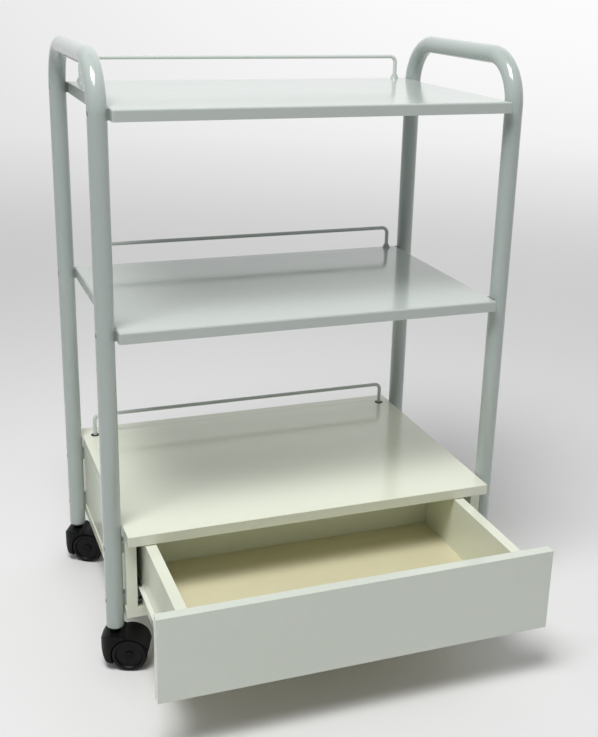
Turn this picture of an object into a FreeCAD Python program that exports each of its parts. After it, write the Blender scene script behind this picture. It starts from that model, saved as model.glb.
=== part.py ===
"""Mobile printer stand: two bent-tube side frames on twin-wheel casters, two folded steel shelves with
wire back rails, and a board cabinet with one drawer on roller slides. Millimetres, +Z up, front towards -Y.
Each function makes one piece, or one group of like pieces, around the middle of the frame on the floor."""

import FreeCAD
import Part
import math
import os

from FreeCAD import Vector

# Side frames: one bent round tube each
TUBE_R = 12.5
TUBE_WALL = 1.2
FRAME_X = 284.0
LEG_Y = 160.0
HANDLE_Z = 828.0
BEND_R = 65.0
LEG_END_Z = 60.0
SWAGE_H = 4.0
SWAGE_R = 9.3
SWAGE_OPENING_R = 7.7

# Folded steel shelves
SHELF_TOP_Z = {"top_shelf": 772.0, "middle_shelf": 494.0}
SHELF_X = 270.0
SHELF_FRONT_Y = -182.0
SHELF_REAR_Y = 167.0
SHELF_DEPTH = 15.0
SHEET = 1.0
SHELF_EDGE_R = 2.5
SHELF_CORNER_R = 3.0
SHELF_HEM = 12.0

# Wire back rails
WIRE_R = 3.0
RAIL_X = 250.0
RAIL_LEFT_X = {"top_shelf": -250.0, "middle_shelf": -237.0, "cabinet": -250.0}
RAIL_Y = 158.0
RAIL_H = 34.0
RAIL_BEND_R = 9.0
RAIL_FOOT = 10.0
FLARE_R = 6.5
FLARE_TOP_R = 4.0
FLARE_H = 6.0
GROMMET_R = 7.0
GROMMET_T = 1.4
GROMMET_RECESS = 1.0
GROMMET_SLEEVE_R = 4.5

# Cabinet of board
BOARD = 15.0
BACK_BOARD = 22.0
CABINET_X = 270.0
CABINET_TOP_Z = 214.0
CABINET_BOTTOM_Z = 79.0
TOP_FRONT_Y = -198.0
CABINET_FRONT_Y = -178.0
CABINET_REAR_Y = 190.0
BOTTOM_LEDGE = 1.2
EASED_R = 0.5

# Drawer, drawn open; it shuts 183 mm further back
DRAWER_FRONT_X = 273.5
DRAWER_FRONT_Y = -377.0
DRAWER_TOP_Z = 197.7
DRAWER_BOX_Z = 98.0
DRAWER_REAR_Y = -95.0
BASE_Z = 113.0
BASE_T = 4.0
GROOVE = 5.0

# Roller slides; the right one stands on a packing strip
SLIDE_GAP = 8.5
PACKING = 15.0
PACKING_Z = (98.0, 131.0)
STEEL = 1.2
SLIDE_FRONT_Y = -176.0
SLIDE_REAR_Y = 84.0
RUNNER_FRONT_Y = -360.0
RUNNER_REAR_Y = -104.0
CHANNEL_Z = (103.6, 125.8)
CHANNEL_LIP = 6.8
RUNNER_Z = (96.8, 124.0)
RUNNER_FLANGE = 5.1
ROLLER_R = 8.7
ROLLER_W = 4.5
ROLLER_Z = 113.8
FRONT_ROLLER_Y = -167.0
REAR_ROLLER_Y = -113.0
RIVET_R = 2.5
RIVET_HEAD_R = 4.0
RUNNING = 0.05

# Fixings
BOLT_R = 2.5
HEAD_R = 4.0
HEAD_H = 3.0
ACCESS_R = 4.3
NUT_AF = 8.0
SHELF_BOLT_DROP = 7.5
CABINET_BOLT_Z = (103.0, 184.0)
SPACER_W = 14.0
SPACER_H = {"shelf": 14.0, "cabinet": 16.0}
CONFIRMAT_L = 50.0
DOWEL_R = 4.0
DOWEL_L = 30.0

# Twin-wheel casters: the wheel trails its stem
WHEEL_R = 25.0
WHEEL_W = 17.6
TRAIL = 21.0
WEB_T = 6.4
SIDE_PLAY = 0.6
AXLE_R = 4.0
HOOD_R = 27.4
HOOD_CAVITY_R = 25.9
HOOD_HALF_W = 22.0
HOOD_TOP_Z = 54.0
HOOD_NOSE = 20.5
STEM_COLLAR_Z = (57.0, 61.0)
STEM_TOP_Z = 93.0
STEM_FOOT_Z = 46.6
JOURNAL_R = 4.0
STEM_R = 4.95
CASTERS = {
    "front_left": (-FRAME_X, -LEG_Y, -20.0),
    "front_right": (FRAME_X, -LEG_Y, -14.0),
    "rear_left": (-FRAME_X, LEG_Y, -28.0),
    "rear_right": (FRAME_X, LEG_Y, -22.0),
}

X = Vector(1, 0, 0)
Y = Vector(0, 1, 0)
Z = Vector(0, 0, 1)
SIDES = {"left": -1, "right": 1}
LEGS = [(sx, y) for sx in (-1, 1) for y in (-LEG_Y, LEG_Y)]


def save(name, shape):
    shape.exportStep("parts/%s.step" % name)


def box(x0, x1, y0, y1, z0, z1):
    return Part.makeBox(abs(x1 - x0), y1 - y0, z1 - z0, Vector(min(x0, x1), y0, z0))


def rod(start, axis, radius, length):
    return Part.makeCylinder(radius, length, Vector(*start), axis)


def ring(start, axis, outer, inner, length):
    return rod(start, axis, outer, length).cut(rod(start, axis, inner, length))


def board(x0, x1, y0, y1, z0, z1):
    """A panel with its sharp edges just taken off."""
    panel = box(x0, x1, y0, y1, z0, z1)
    return panel.makeFillet(EASED_R, panel.Edges)


def arc(a, b, c):
    return Part.Arc(Vector(*a), Vector(*b), Vector(*c)).toShape()


def chain(points):
    """Straight edges through the points, in order."""
    vectors = [Vector(*p) for p in points]
    return [Part.makeLine(a, b) for a, b in zip(vectors, vectors[1:])]


def hexagon(across_flats, height):
    """A hexagonal prism upwards from the origin, with two flats facing along Y."""
    r = across_flats / math.sqrt(3)
    corners = [Vector(r * math.cos(k * math.pi / 3), r * math.sin(k * math.pi / 3), 0) for k in range(7)]
    return Part.Face(Part.makePolygon(corners)).extrude(Vector(0, 0, height))


def nut(across_flats, bore, height):
    return hexagon(across_flats, height).cut(rod((0, 0, 0), Z, bore, height))


def place(shape, position, direction):
    """A copy of a shape made along +Z, turned to the direction and moved to the position."""
    copy = shape.copy()
    copy.Placement = FreeCAD.Placement(Vector(*position), FreeCAD.Rotation(Z, direction))
    return copy


def pan_screw(radius, length):
    """Head down at the origin and the shank up +Z, with a cross recess in the head."""
    head = Part.makeCylinder(HEAD_R, HEAD_H, Vector(0, 0, -HEAD_H))
    head = head.makeFillet(1.2, [e for e in head.Edges if e.BoundBox.ZMax < -HEAD_H + 0.1])
    for size in ((4.4, 1.0), (1.0, 4.4)):
        head = head.cut(box(-size[0] / 2, size[0] / 2, -size[1] / 2, size[1] / 2, -HEAD_H, -HEAD_H + 1.4))
    return head.fuse(Part.makeCylinder(radius, length))


def countersunk(head_r, shank_r, length):
    """A flat-headed screw with its head's face at the origin and its shank up +Z."""
    head = Part.makeCone(head_r, shank_r, head_r - shank_r)
    return head.fuse(Part.makeCylinder(shank_r, length)).removeSplitter()


# ---------------------------------------------------------------- side frames


def swaged_end(x, y):
    """The leg's rounded lower end, turned in to a smaller opening."""
    top = LEG_END_Z + SWAGE_H
    inner = TUBE_R - TUBE_WALL
    edges = [
        arc((TUBE_R, 0, top), (TUBE_R - 1.0, 0, top - 2.9), (SWAGE_R, 0, LEG_END_Z)),
        *chain([(SWAGE_R, 0, LEG_END_Z), (SWAGE_OPENING_R, 0, LEG_END_Z)]),
        *chain([(SWAGE_OPENING_R, 0, LEG_END_Z), (SWAGE_OPENING_R, 0, LEG_END_Z + TUBE_WALL)]),
        *chain([(SWAGE_OPENING_R, 0, LEG_END_Z + TUBE_WALL), (SWAGE_R, 0, LEG_END_Z + TUBE_WALL)]),
        arc((SWAGE_R, 0, LEG_END_Z + TUBE_WALL), (inner - 0.6, 0, top - 1.8), (inner, 0, top)),
        *chain([(inner, 0, top), (TUBE_R, 0, top)]),
    ]
    turned = Part.Face(Part.Wire(edges)).revolve(Vector(0, 0, 0), Z, 360)
    turned.translate(Vector(x, y, 0))
    return turned


def bend(x, y, turn):
    """A quarter turn of tube from a leg at y up to the handle; turn is +1 at the front, -1 at the rear."""
    start = Vector(x, y, HANDLE_Z - BEND_R)
    outer = Part.Wire(Part.makeCircle(TUBE_R, start, Z))
    inner = Part.Wire(Part.makeCircle(TUBE_R - TUBE_WALL, start, Z))
    section = Part.Face([outer, inner])
    centre = Vector(x, y + turn * BEND_R, HANDLE_Z - BEND_R)
    return section.revolve(centre, Vector(-turn, 0, 0), 90)


def bolt_levels():
    """Every fixing through a leg: height and what it holds."""
    shelves = [(z - SHELF_BOLT_DROP, "shelf") for z in SHELF_TOP_Z.values()]
    return shelves + [(z, "cabinet") for z in CABINET_BOLT_Z]


def side_frame(sx):
    x = sx * FRAME_X
    bottom = LEG_END_Z + SWAGE_H
    frame = bend(x, -LEG_Y, 1).fuse(bend(x, LEG_Y, -1))
    half = LEG_Y - BEND_R
    pieces = [ring((x, -half, HANDLE_Z), Y, TUBE_R, TUBE_R - TUBE_WALL, 2 * half)]
    for y in (-LEG_Y, LEG_Y):
        pieces.append(ring((x, y, bottom), Z, TUBE_R, TUBE_R - TUBE_WALL, HANDLE_Z - BEND_R - bottom))
        pieces.append(swaged_end(x, y))
    frame = frame.multiFuse(pieces).removeSplitter()
    for y in (-LEG_Y, LEG_Y):
        for z, _ in bolt_levels():
            frame = frame.cut(rod((x, y, z), X * sx, ACCESS_R, TUBE_R + 1))
            frame = frame.cut(rod((x, y, z), X * -sx, BOLT_R + 0.1, TUBE_R + 1))
    return frame


def caster_sockets():
    """Plastic inserts that hold the caster stems in the legs."""
    neck_z = STEM_COLLAR_Z[1]
    body_z = LEG_END_Z + SWAGE_H + 2
    sockets = []
    for sx, y in LEGS:
        x = sx * FRAME_X
        socket = rod((x, y, neck_z), Z, SWAGE_OPENING_R - 0.1, body_z - neck_z)
        socket = socket.fuse(rod((x, y, body_z), Z, TUBE_R - TUBE_WALL, 30))
        sockets.append(socket.cut(rod((x, y, neck_z), Z, STEM_R, 40)))
    return Part.makeCompound(sockets)


# ---------------------------------------------------------------- fixings through the legs


def head_seat():
    """Distance from a leg's axis to the underside of a screw head lying in the tube's hollow."""
    inner = TUBE_R - TUBE_WALL
    return math.sqrt(inner**2 - HEAD_R**2) - 0.05


def shelf_bolts():
    screws = []
    shank = FRAME_X - head_seat() - SHELF_X + SHEET + 6
    for sx, y in LEGS:
        for z in SHELF_TOP_Z.values():
            seat = (sx * (FRAME_X - head_seat()), y, z - SHELF_BOLT_DROP)
            screws.append(place(pan_screw(BOLT_R, shank), seat, X * -sx))
    return Part.makeCompound(screws)


def shelf_nuts():
    nuts = []
    for sx, y in LEGS:
        for z in SHELF_TOP_Z.values():
            seat = (sx * (SHELF_X - SHEET), y, z - SHELF_BOLT_DROP)
            flat = nut(NUT_AF, BOLT_R, 4.0)
            flat.Placement = FreeCAD.Placement(Vector(*seat), FreeCAD.Rotation(Y, -90 * sx))
            nuts.append(flat)
    return Part.makeCompound(nuts)


def cabinet_bolts():
    screws = []
    shank = FRAME_X - head_seat() - CABINET_X + 13
    for sx, y in LEGS:
        for z in CABINET_BOLT_Z:
            seat = (sx * (FRAME_X - head_seat()), y, z)
            screws.append(place(pan_screw(BOLT_R - 0.5, shank), seat, X * -sx))
    return Part.makeCompound(screws)


def leg_outside(sx, y):
    """The leg and the start of its bend as a solid rod, a hair larger than the tube."""
    start = Vector(sx * FRAME_X, y, HANDLE_Z - BEND_R)
    turn = -1 if y > 0 else 1
    section = Part.Face(Part.Wire(Part.makeCircle(TUBE_R + 0.03, start, Z)))
    curve = section.revolve(start + Vector(0, turn * BEND_R, 0), Vector(-turn, 0, 0), 30)
    return rod((sx * FRAME_X, y, 0), Z, TUBE_R + 0.03, start.z).fuse(curve)


def leg_spacers():
    """Saddle pads between the legs and the shelf or cabinet sides."""
    pads = []
    for sx, y in LEGS:
        tube = leg_outside(sx, y)
        for z, held in bolt_levels():
            w, h = SPACER_W / 2, SPACER_H[held] / 2
            pad = box(sx * SHELF_X, sx * (FRAME_X - 8), y - w, y + w, z - h, z + h)
            pads.append(pad.cut(tube).cut(rod((sx * SHELF_X, y, z), X * sx, BOLT_R + 0.1, 12)))
    return Part.makeCompound(pads)


# ---------------------------------------------------------------- shelves and rails


def pan_block(inset, top, bottom):
    """A rounded block: the shelf's outside, or its hollow when inset by the sheet."""
    block = box(
        -SHELF_X + inset, SHELF_X - inset, SHELF_FRONT_Y + inset, SHELF_REAR_Y - inset, bottom, top
    )
    upright = [e for e in block.Edges if e.BoundBox.ZLength > 1]
    block = block.makeFillet(SHELF_CORNER_R - inset, upright)
    rim = [e for e in block.Edges if e.BoundBox.ZMin > top - 0.01]
    return block.makeFillet(SHELF_EDGE_R - inset, rim)


def feet(name):
    """Where the two feet of a rail stand."""
    return [RAIL_LEFT_X[name], RAIL_X]


def shelf(name, top):
    """A folded pan: flat top, rounded rim, four flanges and a hem inside the front and rear ones.
    The sheet is drawn up in a small flare round each foot of the wire rail."""
    bottom = top - SHELF_DEPTH
    pan = pan_block(0, top, bottom).cut(pan_block(SHEET, top - SHEET, bottom - 1))
    hem_x = SHELF_X - SHELF_CORNER_R
    for y0, y1 in ((SHELF_FRONT_Y, SHELF_FRONT_Y + SHELF_HEM), (SHELF_REAR_Y - SHELF_HEM, SHELF_REAR_Y)):
        pan = pan.fuse(box(-hem_x, hem_x, y0, y1, bottom, bottom + SHEET))
    pan = pan.removeSplitter()
    for x in feet(name):
        pan = pan.fuse(Part.makeCone(FLARE_R, FLARE_TOP_R, FLARE_H, Vector(x, RAIL_Y, top)))
        pan = pan.cut(rod((x, RAIL_Y, top - 3), Z, WIRE_R + 0.2, 3 + FLARE_H))
    for sx, y in LEGS:
        pan = pan.cut(rod((sx * SHELF_X, y, top - SHELF_BOLT_DROP), X * -sx, BOLT_R + 0.1, 3))
    return pan


def rail(name, top):
    """A wire up from one foot, across and down to the other, with tight round corners."""
    left, right = feet(name)
    foot, bend_z, across = top - RAIL_FOOT, top + RAIL_H - RAIL_BEND_R, top + RAIL_H
    corner = RAIL_BEND_R * (1 - math.sqrt(0.5))
    edges = [
        *chain([(left, RAIL_Y, foot), (left, RAIL_Y, bend_z)]),
        arc(
            (left, RAIL_Y, bend_z),
            (left + corner, RAIL_Y, across - corner),
            (left + RAIL_BEND_R, RAIL_Y, across),
        ),
        *chain([(left + RAIL_BEND_R, RAIL_Y, across), (right - RAIL_BEND_R, RAIL_Y, across)]),
        arc(
            (right - RAIL_BEND_R, RAIL_Y, across),
            (right - corner, RAIL_Y, across - corner),
            (right, RAIL_Y, bend_z),
        ),
        *chain([(right, RAIL_Y, bend_z), (right, RAIL_Y, foot)]),
    ]
    section = Part.Wire(Part.makeCircle(WIRE_R, Vector(left, RAIL_Y, foot), Z))
    return Part.Wire(edges).makePipeShell([section], True, False)


def rail_nuts():
    nuts = []
    for name, top in SHELF_TOP_Z.items():
        for x in feet(name):
            nuts.append(place(nut(10.0, WIRE_R, 5.0), (x, RAIL_Y, top - SHEET - 5.0), Z))
    return Part.makeCompound(nuts)


def rail_grommets():
    """Black ferrules where the lowest rail enters the cabinet top."""
    grommets = []
    for x in feet("cabinet"):
        foot = (x, RAIL_Y, CABINET_TOP_Z - RAIL_FOOT)
        sleeve = rod(foot, Z, GROMMET_SLEEVE_R, RAIL_FOOT)
        flange = rod((x, RAIL_Y, CABINET_TOP_Z - GROMMET_RECESS), Z, GROMMET_R, GROMMET_T)
        grommets.append(sleeve.fuse(flange).cut(rod(foot, Z, WIRE_R, RAIL_FOOT + 2)))
    return Part.makeCompound(grommets)


# ---------------------------------------------------------------- cabinet

SIDE_BOTTOM_Z = CABINET_BOTTOM_Z + BOARD
SIDE_TOP_Z = CABINET_TOP_Z - BOARD
BACK_Y = CABINET_REAR_Y - BACK_BOARD
SIDE_MID_X = CABINET_X - BOARD / 2


def cabinet_dowels():
    dowels = []
    for sx in SIDES.values():
        for y in (-145.0, 0.0, 140.0):
            dowels.append(rod((sx * SIDE_MID_X, y, SIDE_TOP_Z - 20), Z, DOWEL_R, DOWEL_L))
    return Part.makeCompound(dowels)


def cabinet_screws():
    """Flat-headed board screws: up through the bottom, and forwards through the back."""
    screw = countersunk(5.0, 2.5, CONFIRMAT_L)
    screws = []
    for sx in SIDES.values():
        for y in (-120.0, 10.0, 115.0):
            screws.append(place(screw, (sx * SIDE_MID_X, y, CABINET_BOTTOM_Z), Z))
        for z in (128.0, 165.0):
            screws.append(place(screw, (sx * SIDE_MID_X, CABINET_REAR_Y, z), -Y))
        for z in (CABINET_BOTTOM_Z + BOARD / 2, CABINET_TOP_Z - BOARD / 2):
            screws.append(place(screw, (sx * 130.0, CABINET_REAR_Y, z), -Y))
    return Part.makeCompound(screws)


def drilled(panel, *fixings):
    """The panel with a hole the size of each fixing that reaches into it."""
    for group in fixings:
        for solid in group.Solids:
            if solid.BoundBox.intersect(panel.BoundBox):
                panel = panel.cut(solid)
    return panel


def cabinet_top_board(fixings):
    top = board(-CABINET_X, CABINET_X, TOP_FRONT_Y, BACK_Y, SIDE_TOP_Z, CABINET_TOP_Z)
    for x in feet("cabinet"):
        top = top.cut(rod((x, RAIL_Y, CABINET_TOP_Z - RAIL_FOOT), Z, GROMMET_SLEEVE_R, 20))
        top = top.cut(rod((x, RAIL_Y, CABINET_TOP_Z - GROMMET_RECESS), Z, GROMMET_R + 0.1, 20))
    return drilled(top, *fixings)


def cabinet_side(sx, fixings):
    side = board(
        sx * CABINET_X, sx * (CABINET_X - BOARD), CABINET_FRONT_Y, BACK_Y, SIDE_BOTTOM_Z, SIDE_TOP_Z
    )
    return drilled(side, *fixings)


def cabinet_bottom_board(fixings):
    half = CABINET_X + BOTTOM_LEDGE
    bottom = board(-half, half, CABINET_FRONT_Y, BACK_Y, CABINET_BOTTOM_Z, SIDE_BOTTOM_Z)
    return drilled(bottom, *fixings)


def cabinet_back_board(fixings):
    back = board(-CABINET_X, CABINET_X, BACK_Y, CABINET_REAR_Y, CABINET_BOTTOM_Z, CABINET_TOP_Z)
    return drilled(back, *fixings)


# ---------------------------------------------------------------- roller slides

# Each slide is drawn by its distance from the face it is screwed to, towards the drawer
SLIDE_FACE = {"left": (-CABINET_X + BOARD, 1), "right": (CABINET_X - BOARD - PACKING, -1)}
DRAWER_SIDE_X = {side: face + way * SLIDE_GAP for side, (face, way) in SLIDE_FACE.items()}
SLIDE_SCREW_L = {"left": 11.0, "right": 25.0}
ROLLER_START = {"front": 1.5, "rear": SLIDE_GAP - STEEL - 0.3 - ROLLER_W}


def slide_box(side, d0, d1, y0, y1, z0, z1):
    face, way = SLIDE_FACE[side]
    return box(face + way * d0, face + way * d1, y0, y1, z0, z1)


def slide_rod(side, d0, d1, y, z, radius):
    face, way = SLIDE_FACE[side]
    return rod((face + way * d0, y, z), X * way * (1 if d1 > d0 else -1), radius, abs(d1 - d0))


def packing_strip():
    face, _ = SLIDE_FACE["right"]
    return box(face, face + PACKING, SLIDE_FRONT_Y, SLIDE_REAR_Y, *PACKING_Z)


def cabinet_slide_screws():
    screws = []
    for side, (face, way) in SLIDE_FACE.items():
        screw = countersunk(3.5, 1.75, SLIDE_SCREW_L[side])
        for y in (-140.0, -40.0, 60.0):
            screws.append(place(screw, (face + way * STEEL, y, ROLLER_Z), X * -way))
    return Part.makeCompound(screws)


def drawer_slide_screws():
    screw = countersunk(3.5, 1.75, 11.0)
    screws = []
    for face, way in SLIDE_FACE.values():
        for y in (-345.0, -245.0, -140.0):
            screws.append(place(screw, (face + way * (SLIDE_GAP - STEEL), y, 106.0), X * way))
    return Part.makeCompound(screws)


def roller_rivets(end):
    """Rivets that the rollers turn on: the front pair in the cabinet rails, the rear pair in the runners."""
    rivets = []
    for side in SIDES:
        start = ROLLER_START[end]
        if end == "front":
            base, tip, y = 0.0, start + ROLLER_W + 0.2, FRONT_ROLLER_Y
        else:
            base, tip, y = SLIDE_GAP, start - 0.2, REAR_ROLLER_Y
        head = tip + (0.5 if tip > base else -0.5)
        rivet = slide_rod(side, base, tip, y, ROLLER_Z, RIVET_R)
        rivets.append(rivet.fuse(slide_rod(side, tip, head, y, ROLLER_Z, RIVET_HEAD_R)))
    return Part.makeCompound(rivets)


def roller(side, end):
    y = FRONT_ROLLER_Y if end == "front" else REAR_ROLLER_Y
    d0 = ROLLER_START[end]
    wheel = slide_rod(side, d0, d0 + ROLLER_W, y, ROLLER_Z, ROLLER_R)
    wheel = wheel.makeFillet(0.6, wheel.Edges[:1] + wheel.Edges[2:])
    return wheel.cut(slide_rod(side, d0, d0 + ROLLER_W, y, ROLLER_Z, RIVET_R + RUNNING))


def cabinet_slide_rail(side, fixings):
    """Channel on the cabinet that the drawer's rear roller runs in."""
    low, high = CHANNEL_Z
    rail = slide_box(side, 0, STEEL, SLIDE_FRONT_Y, SLIDE_REAR_Y, low, high)
    for z0 in (low, high - STEEL):
        rail = rail.fuse(slide_box(side, 0, CHANNEL_LIP, SLIDE_FRONT_Y, SLIDE_REAR_Y, z0, z0 + STEEL))
    return drilled(rail.removeSplitter(), *fixings)


def drawer_slide_runner(side, fixings):
    """Runner on the drawer: foot under the side, web, and a top flange that rides on the front roller."""
    low, high = RUNNER_Z
    front, rear = RUNNER_FRONT_Y, RUNNER_REAR_Y
    web = SLIDE_GAP - STEEL
    runner = slide_box(side, web, SLIDE_GAP, front, rear, low, high)
    runner = runner.fuse(slide_box(side, web, web + 13, front, rear, low, low + STEEL))
    runner = runner.fuse(slide_box(side, web - RUNNER_FLANGE, web, front, rear, high - STEEL, high))
    return drilled(runner.removeSplitter(), *fixings)


# ---------------------------------------------------------------- drawer

FRONT_BACK_Y = DRAWER_FRONT_Y + BOARD
BOX_BACK_Y = DRAWER_REAR_Y - BOARD


def drawer_side_mid(side):
    return DRAWER_SIDE_X[side] + SLIDE_FACE[side][1] * BOARD / 2


def drawer_inside():
    """The box's inner faces, left and right."""
    return [DRAWER_SIDE_X[side] + SLIDE_FACE[side][1] * BOARD for side in SIDES]


def drawer_dowels():
    dowels = []
    for side in SIDES:
        for z in (140.0, 180.0):
            dowels.append(rod((drawer_side_mid(side), FRONT_BACK_Y - 10, z), Y, DOWEL_R, DOWEL_L))
    return Part.makeCompound(dowels)


def drawer_screws():
    """Board screws through the sides into the ends of the back."""
    screw = countersunk(5.0, 2.5, CONFIRMAT_L)
    screws = []
    for side in SIDES:
        for z in (140.0, 180.0):
            seat = (DRAWER_SIDE_X[side], BOX_BACK_Y + BOARD / 2, z)
            screws.append(place(screw, seat, X * SLIDE_FACE[side][1]))
    return Part.makeCompound(screws)


def drawer_base():
    left, right = drawer_inside()
    return box(
        left - GROOVE, right + GROOVE, FRONT_BACK_Y - GROOVE, DRAWER_REAR_Y, BASE_Z, BASE_Z + BASE_T
    )


def drawer_front(fixings):
    panel = board(
        -DRAWER_FRONT_X, DRAWER_FRONT_X, DRAWER_FRONT_Y, FRONT_BACK_Y, CABINET_BOTTOM_Z, DRAWER_TOP_Z
    )
    return drilled(panel, drawer_base(), *fixings)


def drawer_side(side, fixings):
    outer = DRAWER_SIDE_X[side]
    inner = outer + SLIDE_FACE[side][1] * BOARD
    panel = board(outer, inner, FRONT_BACK_Y, DRAWER_REAR_Y, DRAWER_BOX_Z, DRAWER_TOP_Z)
    return drilled(panel, drawer_base(), *fixings)


def drawer_back(fixings):
    left, right = drawer_inside()
    panel = board(left, right, BOX_BACK_Y, DRAWER_REAR_Y, BASE_Z + BASE_T, DRAWER_TOP_Z)
    return drilled(panel, *fixings)


# ---------------------------------------------------------------- casters

# Caster pieces are drawn around the stem's axis with the wheel trailing towards +X


def hood_profile():
    """The hood seen from the side: nose, flat top round the stem, and a mudguard over the wheels."""
    cx, cz = TRAIL, WHEEL_R

    def on_guard(angle):
        a = math.radians(angle)
        return (cx + HOOD_R * math.cos(a), 0, cz + HOOD_R * math.sin(a))

    chin = 12.0
    cavity_x = cx - math.sqrt(HOOD_CAVITY_R**2 - (cz - chin) ** 2)
    edges = [
        arc(on_guard(12), on_guard(60), on_guard(108)),
        *chain([on_guard(108), (8, 0, HOOD_TOP_Z), (-7, 0, HOOD_TOP_Z)]),
        arc((-7, 0, HOOD_TOP_Z), (-16.5, 0, HOOD_TOP_Z - 4.5), (-HOOD_NOSE, 0, 40.0)),
        arc((-HOOD_NOSE, 0, 40.0), (-19.0, 0, 26.0), (-12.0, 0, chin)),
        *chain([(-12.0, 0, chin), (cavity_x, 0, chin), (30, 0, 12.5), (42, 0, 22), on_guard(12)]),
    ]
    return Part.Face(Part.Wire(edges))


def hood_plan():
    """The hood seen from above: a round nose and a rounded tail."""
    w, tail, r = HOOD_HALF_W, TRAIL + HOOD_R + 0.5, 9.0
    s = r * (1 - math.sqrt(0.5))
    edges = [
        arc((1.5, -w, 0), (-HOOD_NOSE, 0, 0), (1.5, w, 0)),
        *chain([(1.5, w, 0), (tail - r, w, 0)]),
        arc((tail - r, w, 0), (tail - s, w - s, 0), (tail, w - r, 0)),
        *chain([(tail, w - r, 0), (tail, r - w, 0)]),
        arc((tail, r - w, 0), (tail - s, s - w, 0), (tail - r, -w, 0)),
        *chain([(tail - r, -w, 0), (1.5, -w, 0)]),
    ]
    return Part.Face(Part.Wire(edges))


def caster_hood():
    """One moulding: stem boss, web between the wheels and a mudguard over both."""
    side = hood_profile().extrude(Vector(0, 2 * HOOD_HALF_W, 0))
    side.translate(Vector(0, -HOOD_HALF_W, 0))
    hood = side.common(hood_plan().extrude(Vector(0, 0, 80)))
    hood = hood.fuse(rod((0, 0, HOOD_TOP_Z - 1), Z, 7.5, STEM_COLLAR_Z[0] - 0.3 - HOOD_TOP_Z + 1))
    for sy in (-1, 1):
        hood = hood.cut(rod((TRAIL, sy * WEB_T / 2, WHEEL_R), Y * sy, HOOD_CAVITY_R, 30))
    hood = hood.cut(rod((TRAIL, -WEB_T, WHEEL_R), Y, AXLE_R, 2 * WEB_T))
    hood = hood.cut(rod((0, 0, STEM_FOOT_Z - 0.4), Z, JOURNAL_R + RUNNING, 20))
    return hood.cut(rod((0, 0, STEM_FOOT_Z + 1.4), Z, JOURNAL_R + 0.7, 2.0))


def caster_stem():
    """Journal with a snap ridge in the hood, a collar under the leg and a shank up its socket."""
    low, high = STEM_COLLAR_Z
    stem = rod((0, 0, STEM_FOOT_Z), Z, JOURNAL_R, low - STEM_FOOT_Z)
    stem = stem.fuse(rod((0, 0, STEM_FOOT_Z + 1.7), Z, JOURNAL_R + 0.6, 1.4))
    stem = stem.fuse(rod((0, 0, low), Z, 6.25, high - low))
    shank = rod((0, 0, high), Z, STEM_R, STEM_TOP_Z - high)
    shank = shank.makeChamfer(1.5, [e for e in shank.Edges if e.BoundBox.ZMin > STEM_TOP_Z - 0.1])
    return stem.fuse(shank)


def caster_axle():
    """Axle pressed through the web, with a round head outside each wheel."""
    hub = WEB_T / 2 + SIDE_PLAY + WHEEL_W - 2.5 + 0.3
    axle = rod((TRAIL, -hub, WHEEL_R), Y, AXLE_R, 2 * hub)
    for sy in (-1, 1):
        axle = axle.fuse(rod((TRAIL, sy * hub, WHEEL_R), Y * sy, 6.5, 1.4))
    return axle


def caster_wheel(sy):
    """A solid wheel with a rounded tread and a dished outer face."""
    inner = sy * (WEB_T / 2 + SIDE_PLAY)
    wheel = rod((TRAIL, inner, WHEEL_R), Y * sy, WHEEL_R, WHEEL_W)
    wheel = wheel.makeFillet(3.0, [e for e in wheel.Edges if e.Length > 6 * WHEEL_R])
    face = inner + sy * WHEEL_W
    dish = Part.makeCone(19.5, 18.0, 2.5, Vector(TRAIL, face, WHEEL_R), Y * -sy)
    bore = rod((TRAIL, inner - sy, WHEEL_R), Y * sy, AXLE_R + RUNNING, WHEEL_W + 4)
    return wheel.cut(dish).cut(bore)


def at_leg(shape, where):
    """The caster piece turned by its leg's own angle and moved under the leg."""
    x, y, angle = CASTERS[where]
    copy = shape.copy()
    copy.rotate(Vector(0, 0, 0), Z, angle)
    copy.translate(Vector(x, y, 0))
    return copy


# ---------------------------------------------------------------- the whole stand


def save_frame_and_shelves():
    for side, sx in SIDES.items():
        save(side + "_side_frame", side_frame(sx))
    save("caster_sockets", caster_sockets())
    save("shelf_bolts", shelf_bolts())
    save("shelf_nuts", shelf_nuts())
    save("leg_spacers", leg_spacers())
    for name, top in SHELF_TOP_Z.items():
        save(name, shelf(name, top))
        save(name + "_rail", rail(name, top))
    save("cabinet_rail", rail("cabinet", CABINET_TOP_Z))
    save("rail_nuts", rail_nuts())
    save("rail_grommets", rail_grommets())


def save_cabinet():
    dowels, screws, bolts = cabinet_dowels(), cabinet_screws(), cabinet_bolts()
    slide_screws, rivets = cabinet_slide_screws(), roller_rivets("front")
    save("cabinet_dowels", dowels)
    save("cabinet_screws", screws)
    save("cabinet_bolts", bolts)
    save("cabinet_slide_screws", slide_screws)
    save("front_roller_rivets", rivets)
    save("cabinet_top_board", cabinet_top_board([dowels, screws]))
    save("cabinet_bottom_board", cabinet_bottom_board([screws]))
    save("cabinet_back_board", cabinet_back_board([screws]))
    for side, sx in SIDES.items():
        save("cabinet_%s_side" % side, cabinet_side(sx, [dowels, screws, bolts, slide_screws]))
        save("%s_slide_channel" % side, cabinet_slide_rail(side, [slide_screws, rivets]))
    save("slide_packing_strip", drilled(packing_strip(), slide_screws))


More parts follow.
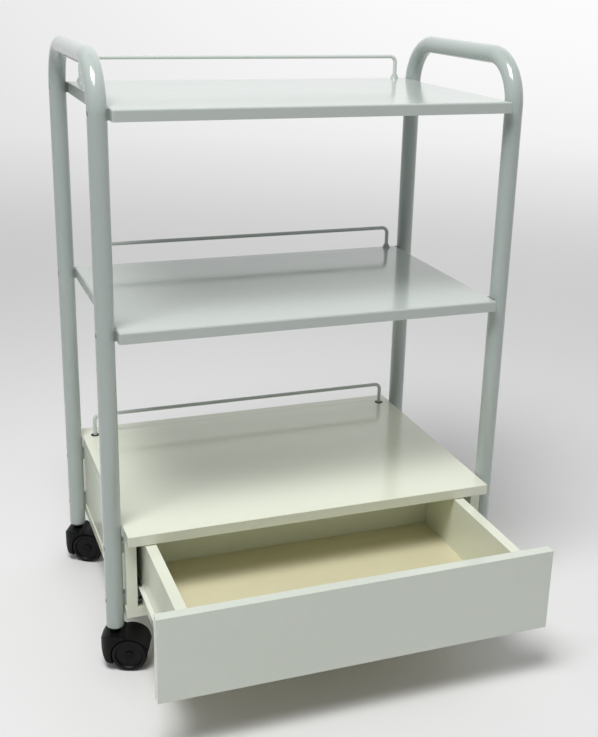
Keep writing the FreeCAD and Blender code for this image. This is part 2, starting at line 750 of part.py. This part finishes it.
def save_drawer():
    dowels, screws = drawer_dowels(), drawer_screws()
    slide_screws, rivets = drawer_slide_screws(), roller_rivets("rear")
    save("drawer_dowels", dowels)
    save("drawer_screws", screws)
    save("drawer_slide_screws", slide_screws)
    save("rear_roller_rivets", rivets)
    save("drawer_base", drawer_base())
    save("drawer_front", drawer_front([dowels]))
    save("drawer_back", drawer_back([screws]))
    for side in SIDES:
        save("drawer_%s_side" % side, drawer_side(side, [dowels, screws, slide_screws]))
        save("%s_slide_runner" % side, drawer_slide_runner(side, [slide_screws, rivets]))
        for end in ("front", "rear"):
            save("%s_%s_roller" % (side, end), roller(side, end))


def save_casters():
    stem = caster_stem()
    save("caster_stems", Part.makeCompound([at_leg(stem, where) for where in CASTERS]))
    hood, axle = caster_hood(), caster_axle()
    wheels = {"near": caster_wheel(-1), "far": caster_wheel(1)}
    for where in CASTERS:
        save(where + "_caster_hood", at_leg(hood, where))
        save(where + "_caster_axle", at_leg(axle, where))
        for which, wheel in wheels.items():
            save("%s_%s_wheel" % (where, which), at_leg(wheel, where))


os.makedirs("parts", exist_ok=True)
save_frame_and_shelves()
save_cabinet()
save_drawer()
save_casters()
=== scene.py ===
"""Looks for the mobile printer stand: grey stove-enamelled tube, off-white pressed shelves and wire rails,
a melamine-faced cabinet and drawer, and black nylon casters. Metres, in the frame of the solid model."""

import bmesh
import bpy
import math
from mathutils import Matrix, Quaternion, Vector

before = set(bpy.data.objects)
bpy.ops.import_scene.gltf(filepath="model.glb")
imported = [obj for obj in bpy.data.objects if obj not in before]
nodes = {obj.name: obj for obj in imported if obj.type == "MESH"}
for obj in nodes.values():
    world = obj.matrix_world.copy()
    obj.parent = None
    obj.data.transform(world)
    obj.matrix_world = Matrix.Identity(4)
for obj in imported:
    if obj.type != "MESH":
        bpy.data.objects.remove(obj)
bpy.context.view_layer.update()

# ------------------------------------------------------------------ camera
# The viewer stands a stride and a half in front of the stand and to the left of its middle.  The eye is a
# little above the top shelf and looks down, so the uprights draw together towards the floor.
camera = bpy.data.objects.new("camera", bpy.data.cameras.new("camera"))
bpy.context.collection.objects.link(camera)
bpy.context.scene.camera = camera
camera.location = (-0.51803, -1.50527, 0.93217)
camera.rotation_mode = "QUATERNION"
camera.rotation_quaternion = Quaternion((0.80198748, 0.57130209, -0.1103979, -0.13506409))
camera.data.sensor_width = 36.0
camera.data.lens = 54.2166
camera.data.shift_x = -0.00448
camera.data.shift_y = -0.02618
camera.data.clip_start = 0.05
camera.data.clip_end = 60.0

# ------------------------------------------------------------------ side frames
# Two 25 mm steel tubes, each bent into both legs and the handle, in a pale grey stove enamel.  The enamel
# dries with a shallow ripple, drifts by a few per cent in tone, and picks up small rub marks.

# Tone of a coated surface: a colour that drifts over a hand's width with finer mottling on it, and a mask
# of sparse small marks.
tone_drift = bpy.data.node_groups.new("tone_drift", "ShaderNodeTree")
for socket in ("Colour", "Deep colour", "Mark colour"):
    tone_drift.interface.new_socket(socket, in_out="INPUT", socket_type="NodeSocketColor")
for socket in ("Scale", "Mark size", "Mark floor"):
    tone_drift.interface.new_socket(socket, in_out="INPUT", socket_type="NodeSocketFloat")
tone_drift.interface.new_socket("Colour", in_out="OUTPUT", socket_type="NodeSocketColor")
make, join = tone_drift.nodes.new, tone_drift.links.new
given, out = make("NodeGroupInput"), make("NodeGroupOutput")
place = make("ShaderNodeTexCoord")
broad, fine, marks = (make("ShaderNodeTexNoise") for _ in range(3))
broad.inputs["Detail"].default_value = 3.0
fine.inputs["Detail"].default_value = 4.0
marks.inputs["Detail"].default_value = 6.0
marks.inputs["Roughness"].default_value = 0.62
for noise in (broad, fine, marks):
    join(place.outputs["Object"], noise.inputs["Vector"])
join(given.outputs["Scale"], broad.inputs["Scale"])
join(given.outputs["Mark size"], marks.inputs["Scale"])

# The mottling is much finer than the drift, and about a third of the mix.
MOTTLE_FINER = 14.0
MOTTLE_SHARE = 0.35
finer = make("ShaderNodeMath")
finer.operation = "MULTIPLY"
finer.inputs[1].default_value = MOTTLE_FINER
mottle = make("ShaderNodeMix")
mottle.inputs["Factor"].default_value = MOTTLE_SHARE
drift = make("ShaderNodeMapRange")
drift.inputs["From Min"].default_value = 0.36
drift.inputs["From Max"].default_value = 0.64
tint, marked = make("ShaderNodeMix"), make("ShaderNodeMix")
tint.data_type = marked.data_type = "RGBA"
join(given.outputs["Scale"], finer.inputs[0])
join(finer.outputs[0], fine.inputs["Scale"])
join(broad.outputs[0], mottle.inputs["A"])
join(fine.outputs[0], mottle.inputs["B"])
join(mottle.outputs["Result"], drift.inputs["Value"])
join(drift.outputs["Result"], tint.inputs["Factor"])
join(given.outputs["Deep colour"], tint.inputs["A"])
join(given.outputs["Colour"], tint.inputs["B"])

# Only the peaks of the marks' noise show, from the mark floor up, and none covers the coat wholly.
MARK_PEAK = 0.86
MARK_COVER = 0.75
sparse = make("ShaderNodeMapRange")
sparse.inputs["From Max"].default_value = MARK_PEAK
sparse.inputs["To Max"].default_value = MARK_COVER
join(marks.outputs[0], sparse.inputs["Value"])
join(given.outputs["Mark floor"], sparse.inputs["From Min"])
join(sparse.outputs["Result"], marked.inputs["Factor"])
join(tint.outputs["Result"], marked.inputs["A"])
join(given.outputs["Mark colour"], marked.inputs["B"])
join(marked.outputs["Result"], out.inputs["Colour"])

# Skin of a coated or moulded surface: its ripple or grain as a normal, and a roughness that wanders where
# hands and cloths have rubbed.
GRAIN_RELIEF = 0.0004
RUB_SCALE = 9.0
skin_grain = bpy.data.node_groups.new("skin_grain", "ShaderNodeTree")
for socket in ("Grain size", "Grain depth", "Smoothest", "Roughest"):
    skin_grain.interface.new_socket(socket, in_out="INPUT", socket_type="NodeSocketFloat")
skin_grain.interface.new_socket("Normal", in_out="OUTPUT", socket_type="NodeSocketVector")
skin_grain.interface.new_socket("Roughness", in_out="OUTPUT", socket_type="NodeSocketFloat")
make, join = skin_grain.nodes.new, skin_grain.links.new
given, out = make("NodeGroupInput"), make("NodeGroupOutput")
place = make("ShaderNodeTexCoord")
grain, rub = make("ShaderNodeTexNoise"), make("ShaderNodeTexNoise")
grain.inputs["Detail"].default_value = 1.5
grain.inputs["Roughness"].default_value = 0.4
rub.inputs["Scale"].default_value = RUB_SCALE
rub.inputs["Detail"].default_value = 5.0
relief = make("ShaderNodeBump")
relief.inputs["Distance"].default_value = GRAIN_RELIEF
wander = make("ShaderNodeMapRange")
wander.inputs["From Min"].default_value = 0.3
wander.inputs["From Max"].default_value = 0.7
join(place.outputs["Object"], grain.inputs["Vector"])
join(place.outputs["Object"], rub.inputs["Vector"])
join(given.outputs["Grain size"], grain.inputs["Scale"])
join(grain.outputs[0], relief.inputs["Height"])
join(given.outputs["Grain depth"], relief.inputs["Strength"])
join(rub.outputs[0], wander.inputs["Value"])
join(given.outputs["Smoothest"], wander.inputs["To Min"])
join(given.outputs["Roughest"], wander.inputs["To Max"])
join(relief.outputs["Normal"], out.inputs["Normal"])
join(wander.outputs["Result"], out.inputs["Roughness"])


def finish(name, colour, deep, scale, mark, mark_size, mark_floor, grain, depth, smooth, rough, plain=()):
    """A finish of one drifting colour with sparse marks and its own skin.

    plain lists the shader's other sockets that have one value all over, as pairs of name and value.
    """
    made = bpy.data.materials.new(name)
    made.use_nodes = True
    make, join = made.node_tree.nodes.new, made.node_tree.links.new
    shader = made.node_tree.nodes["Principled BSDF"]
    tone, skin = make("ShaderNodeGroup"), make("ShaderNodeGroup")
    tone.node_tree, skin.node_tree = tone_drift, skin_grain
    tone.inputs["Colour"].default_value = (*colour, 1)
    tone.inputs["Deep colour"].default_value = (*deep, 1)
    tone.inputs["Mark colour"].default_value = (*mark, 1)
    tone.inputs["Scale"].default_value = scale
    tone.inputs["Mark size"].default_value = mark_size
    tone.inputs["Mark floor"].default_value = mark_floor
    skin.inputs["Grain size"].default_value = grain
    skin.inputs["Grain depth"].default_value = depth
    skin.inputs["Smoothest"].default_value = smooth
    skin.inputs["Roughest"].default_value = rough
    for socket, value in plain:
        shader.inputs[socket].default_value = value
    join(tone.outputs["Colour"], shader.inputs["Base Color"])
    join(skin.outputs["Normal"], shader.inputs["Normal"])
    join(skin.outputs["Roughness"], shader.inputs["Roughness"])
    return made


def dress(made, *names):
    """Put a finish on pieces of the solid model."""
    for name in names:
        for slot in nodes[name].material_slots:
            slot.material = made


tube_paint = finish(
    "tube_paint", colour=(0.425, 0.480, 0.456), deep=(0.410, 0.466, 0.443), scale=5.0,
    mark=(0.28, 0.31, 0.29), mark_size=60.0, mark_floor=0.72,
    grain=240.0, depth=0.10, smooth=0.17, rough=0.22,
    plain=(("Coat Weight", 0.7), ("Coat Roughness", 0.10)),
)
dress(tube_paint, "left_side_frame", "right_side_frame")

# ------------------------------------------------------------------ caster sockets and stems
# A black plastic socket in the end of each leg grips a zinc-plated steel stem, whose collar shows between
# the leg and the caster's hood.
plug_black = finish(
    "plug_black", colour=(0.006, 0.007, 0.007), deep=(0.009, 0.010, 0.010), scale=30.0,
    mark=(0.020, 0.020, 0.020), mark_size=220.0, mark_floor=0.70,
    grain=900.0, depth=0.30, smooth=0.44, rough=0.54,
    plain=(("Specular IOR Level", 0.25),),
)
dress(plug_black, "caster_sockets")
zinc_plate = finish(
    "zinc_plate", colour=(0.62, 0.64, 0.66), deep=(0.48, 0.49, 0.50), scale=120.0,
    mark=(0.40, 0.38, 0.34), mark_size=400.0, mark_floor=0.66,
    grain=1400.0, depth=0.12, smooth=0.24, rough=0.40,
    plain=(("Metallic", 1.0),),
)
dress(zinc_plate, "caster_stems")

# ------------------------------------------------------------------ casters
# Each caster is a black moulded hood with a web between two nylon wheels, and an axle pressed through it.
# The hood has a fine spark-eroded grain; the wheels' treads are polished and dusty from the floor.
CASTERS = ("front_left", "front_right", "rear_left", "rear_right")
hood_black = finish(
    "hood_black", colour=(0.0035, 0.004, 0.004), deep=(0.005, 0.006, 0.006), scale=30.0,
    mark=(0.022, 0.022, 0.021), mark_size=160.0, mark_floor=0.68,
    grain=1000.0, depth=0.35, smooth=0.42, rough=0.52,
    plain=(("Specular IOR Level", 0.12),),
)
wheel_black = finish(
    "wheel_black", colour=(0.0035, 0.0035, 0.004), deep=(0.005, 0.005, 0.006), scale=40.0,
    mark=(0.030, 0.029, 0.027), mark_size=190.0, mark_floor=0.64,
    grain=700.0, depth=0.20, smooth=0.34, rough=0.46,
    plain=(("Specular IOR Level", 0.18),),
)
for caster in CASTERS:
    dress(hood_black, caster + "_caster_hood", caster + "_caster_axle")
    dress(wheel_black, caster + "_near_wheel", caster + "_far_wheel")

# ------------------------------------------------------------------ steel shelves
# Folded from 1 mm sheet and enamelled after folding, a shade whiter than the tubes.  The flat tops carry
# a faint ripple, and the fine rub marks of what has stood on them.
shelf_enamel = finish(
    "shelf_enamel", colour=(0.485, 0.530, 0.500), deep=(0.472, 0.517, 0.488), scale=4.0,
    mark=(0.36, 0.39, 0.37), mark_size=55.0, mark_floor=0.71,
    grain=200.0, depth=0.05, smooth=0.11, rough=0.16,
)
dress(shelf_enamel, "top_shelf", "middle_shelf")

# ------------------------------------------------------------------ wire rails
# Bent wire, enamelled paler than the shelves.  The two upper rails are nutted under their shelves; the
# lowest stands in black ferrules let into the cabinet top.
wire_enamel = finish(
    "wire_enamel", colour=(0.640, 0.685, 0.650), deep=(0.620, 0.665, 0.630), scale=9.0,
    mark=(0.30, 0.32, 0.31), mark_size=90.0, mark_floor=0.70,
    grain=300.0, depth=0.08, smooth=0.20, rough=0.26,
    plain=(("Coat Weight", 0.4), ("Coat Roughness", 0.05)),
)
dress(wire_enamel, "top_shelf_rail", "middle_shelf_rail", "cabinet_rail")
dress(zinc_plate, "rail_nuts")
dress(plug_black, "rail_grommets")

# ------------------------------------------------------------------ fixings through the legs
# Zinc-plated screws lie inside the tubes and draw the shelves and the cabinet on to saddle pads, which are
# moulded in plastic to the round of the tube. The pads' dark mid-grey is painted shade, standing in for the
# shade in the narrow gap between each tube and the board it holds.
pad_painted_shade = finish(
    "pad_painted_shade", colour=(0.240, 0.265, 0.250), deep=(0.220, 0.245, 0.230), scale=30.0,
    mark=(0.07, 0.08, 0.075), mark_size=200.0, mark_floor=0.68,
    grain=800.0, depth=0.20, smooth=0.42, rough=0.52,
)
dress(pad_painted_shade, "leg_spacers")
dress(zinc_plate, "shelf_bolts", "shelf_nuts", "cabinet_bolts")

# ------------------------------------------------------------------ cabinet
# Five chipboard panels, 15 mm and 22 mm, in off-white melamine pressed with a fine pearl grain, and edged
# with the same paper.  Dowels and board screws hold them.
melamine = finish(
    "melamine", colour=(0.755, 0.780, 0.655), deep=(0.735, 0.762, 0.635), scale=6.0,
    mark=(0.50, 0.50, 0.42), mark_size=70.0, mark_floor=0.71,
    grain=1100.0, depth=0.05, smooth=0.13, rough=0.18,
)
dress(
    melamine, "cabinet_top_board", "cabinet_bottom_board", "cabinet_back_board", "cabinet_left_side",
    "cabinet_right_side",
)
dress(zinc_plate, "cabinet_screws")

# ------------------------------------------------------------------ dowels
# Turned beech.  The fleck runs along the cabinet's upright dowels, and across those of the drawer, which
# lie from front to back.
FLECK_ACROSS = 900
FLECK_ALONG = 60
beech = bpy.data.materials.new("beech")
beech.use_nodes = True
make, join = beech.node_tree.nodes.new, beech.node_tree.links.new
shader = beech.node_tree.nodes["Principled BSDF"]
shader.inputs["Roughness"].default_value = 0.62
place = make("ShaderNodeTexCoord")
stretch = make("ShaderNodeMapping")
stretch.inputs["Scale"].default_value = (FLECK_ACROSS, FLECK_ACROSS, FLECK_ALONG)
fleck = make("ShaderNodeTexNoise")
fleck.inputs["Scale"].default_value = 1.0
fleck.inputs["Detail"].default_value = 4.0
shade = make("ShaderNodeValToRGB")
dark, light = shade.color_ramp.elements
dark.position = 0.35
dark.color = (0.40, 0.25, 0.13, 1)
light.position = 0.65
light.color = (0.58, 0.41, 0.25, 1)
join(place.outputs["Object"], stretch.inputs["Vector"])
join(stretch.outputs["Vector"], fleck.inputs["Vector"])
join(fleck.outputs[0], shade.inputs["Fac"])
join(shade.outputs["Color"], shader.inputs["Base Color"])
dress(beech, "cabinet_dowels", "drawer_dowels")

# ------------------------------------------------------------------ roller slides
# Rolled steel: a channel screwed to each side of the cabinet, the right one on a packing strip, and a
# white-enamelled runner under each side of the drawer, with dark nylon rollers riveted to both. The
# channel's dull dark zinc grey is painted shade, standing in for the shade in the slot between cabinet side
# and drawer.
channel_painted_shade = finish(
    "channel_painted_shade", colour=(0.30, 0.31, 0.31), deep=(0.22, 0.23, 0.23), scale=60.0,
    mark=(0.14, 0.13, 0.12), mark_size=300.0, mark_floor=0.66,
    grain=900.0, depth=0.15, smooth=0.42, rough=0.55,
    plain=(("Metallic", 1.0),),
)
runner_enamel = finish(
    "runner_enamel", colour=(0.760, 0.790, 0.700), deep=(0.740, 0.770, 0.680), scale=9.0,
    mark=(0.40, 0.40, 0.36), mark_size=120.0, mark_floor=0.70,
    grain=260.0, depth=0.06, smooth=0.24, rough=0.32,
)
roller_nylon = finish(
    "roller_nylon", colour=(0.050, 0.052, 0.050), deep=(0.040, 0.042, 0.040), scale=60.0,
    mark=(0.10, 0.10, 0.09), mark_size=300.0, mark_floor=0.68,
    grain=500.0, depth=0.08, smooth=0.34, rough=0.42,
)
dress(melamine, "slide_packing_strip")
for side in ("left", "right"):
    dress(channel_painted_shade, side + "_slide_channel")
    dress(runner_enamel, side + "_slide_runner")
    dress(roller_nylon, side + "_front_roller", side + "_rear_roller")
dress(zinc_plate, "cabinet_slide_screws", "drawer_slide_screws", "front_roller_rivets", "rear_roller_rivets")

# ------------------------------------------------------------------ drawer
# Melamine sides, back and front, the front a touch cooler and darker than the other melamine, round a thin
# base of cream-faced hardboard that slides in grooves.
front_melamine = finish(
    "front_melamine", colour=(0.675, 0.715, 0.645), deep=(0.660, 0.700, 0.628), scale=5.0,
    mark=(0.52, 0.54, 0.47), mark_size=65.0, mark_floor=0.71,
    grain=1100.0, depth=0.05, smooth=0.15, rough=0.20,
)
base_board = finish(
    "base_board", colour=(0.710, 0.665, 0.460), deep=(0.685, 0.640, 0.435), scale=8.0,
    mark=(0.42, 0.37, 0.24), mark_size=110.0, mark_floor=0.68,
    grain=1500.0, depth=0.12, smooth=0.42, rough=0.50,
)
dress(front_melamine, "drawer_front")
dress(melamine, "drawer_left_side", "drawer_right_side", "drawer_back")
dress(base_board, "drawer_base")
dress(zinc_plate, "drawer_screws")

# ------------------------------------------------------------------ studio
# A round pale studio: a flat floor that sweeps up through a cove into a wall and a half-open dome.  Away
# from the stand its paint gives way to a soft glow, strongest behind the stand and to its right.
ROOM_R = 6.5
COVE_R = 1.5
DOME_Z = 3.0
DOME_R = 4.0
DOME_RISE_DEGREES = 75
ARC_STEP_DEGREES = 15
ROOM_STEPS = 96
WELD = 0.0001
outline = [(0.0, 0.0)]
for degrees in range(-90, 1, ARC_STEP_DEGREES):
    turn = math.radians(degrees)
    outline.append((ROOM_R - COVE_R + COVE_R * math.cos(turn), COVE_R + COVE_R * math.sin(turn)))
for degrees in range(0, DOME_RISE_DEGREES + 1, ARC_STEP_DEGREES):
    turn = math.radians(degrees)
    outline.append((ROOM_R - DOME_R + DOME_R * math.cos(turn), DOME_Z + DOME_R * math.sin(turn)))
room = bmesh.new()
rim = [room.verts.new((radius, 0, height)) for radius, height in outline]
edges = [room.edges.new(pair) for pair in zip(rim, rim[1:])]
bmesh.ops.spin(
    room, geom=rim + edges, cent=(0, 0, 0), axis=(0, 0, 1), angle=2 * math.pi, steps=ROOM_STEPS,
    use_merge=True,
)
bmesh.ops.remove_doubles(room, verts=room.verts, dist=WELD)
bmesh.ops.recalc_face_normals(room, faces=room.faces)
bmesh.ops.reverse_faces(room, faces=room.faces)
for face in room.faces:
    face.smooth = True
floor_mesh = bpy.data.meshes.new("studio_floor")
room.to_mesh(floor_mesh)
room.free()
floor = bpy.data.objects.new("studio_floor", floor_mesh)
bpy.context.collection.objects.link(floor)

# The glow is the product of one ramp from front to back, one from left to right and one outwards from the
# stand, which also fades the paint out.
GLOW_FRONT = 0.16
GLOW_BACK = 0.86
GLOW_LEFT = 0.48
GLOW_RIGHT = 1.44
GLOW_STARTS = 0.5
GLOW_FULL = 3.8
pale_floor = bpy.data.materials.new("pale_floor")
pale_floor.use_nodes = True
make, join = pale_floor.node_tree.nodes.new, pale_floor.node_tree.links.new
shader = pale_floor.node_tree.nodes["Principled BSDF"]
shader.inputs["Roughness"].default_value = 0.9
shader.inputs["Specular IOR Level"].default_value = 0.1
shader.inputs["Emission Strength"].default_value = 1.0
place = make("ShaderNodeTexCoord")
apart = make("ShaderNodeSeparateXYZ")
behind, beside, far = (make("ShaderNodeMapRange") for _ in range(3))
for ramp, low, high in ((behind, GLOW_FRONT, GLOW_BACK), (beside, GLOW_LEFT, GLOW_RIGHT)):
    ramp.inputs["From Min"].default_value = -ROOM_R
    ramp.inputs["From Max"].default_value = ROOM_R
    ramp.inputs["To Min"].default_value = low
    ramp.inputs["To Max"].default_value = high
far.interpolation_type = "SMOOTHSTEP"
far.inputs["From Min"].default_value = GLOW_STARTS
far.inputs["From Max"].default_value = GLOW_FULL
outwards = make("ShaderNodeVectorMath")
outwards.operation = "LENGTH"
level, glow = make("ShaderNodeMath"), make("ShaderNodeMath")
level.operation = glow.operation = "MULTIPLY"
paint = make("ShaderNodeMix")
paint.data_type = "RGBA"
paint.inputs["A"].default_value = (0.80, 0.80, 0.80, 1)
paint.inputs["B"].default_value = (0.0, 0.0, 0.0, 1)
join(place.outputs["Object"], apart.inputs[0])
join(place.outputs["Object"], outwards.inputs[0])
join(apart.outputs["Y"], behind.inputs["Value"])
join(apart.outputs["X"], beside.inputs["Value"])
join(outwards.outputs["Value"], far.inputs["Value"])
join(behind.outputs["Result"], level.inputs[0])
join(beside.outputs["Result"], level.inputs[1])
join(level.outputs[0], glow.inputs[0])
join(far.outputs["Result"], glow.inputs[1])
join(glow.outputs[0], shader.inputs["Emission Color"])
join(far.outputs["Result"], paint.inputs["Factor"])
join(paint.outputs["Result"], shader.inputs["Base Color"])
floor_mesh.materials.append(pale_floor)

# One soft lamp, high over the front left corner of the stand, and a dim sky through the top of the dome.
LAMP_SIDE = 1.2
LAMP_WATTS = 70.0
LAMP_AIM = Vector((0, -0.1, 0.4))
SKY_LEVEL = 0.18
lamp = bpy.data.lights.new("overhead", "AREA")
lamp.shape = "RECTANGLE"
lamp.size = LAMP_SIDE
lamp.size_y = LAMP_SIDE
lamp.energy = LAMP_WATTS
overhead = bpy.data.objects.new("overhead", lamp)
bpy.context.collection.objects.link(overhead)
overhead.location = (-0.80, -0.95, 2.9)
overhead.rotation_mode = "QUATERNION"
overhead.rotation_quaternion = (LAMP_AIM - overhead.location).to_track_quat("-Z", "Y")
sky = bpy.data.worlds.new("sky")
bpy.context.scene.world = sky
sky.use_nodes = True
backdrop = sky.node_tree.nodes["Background"]
backdrop.inputs["Color"].default_value = (0.97, 1.0, 0.99, 1)
backdrop.inputs["Strength"].default_value = SKY_LEVEL
bpy.context.scene.view_settings.view_transform = "Standard"
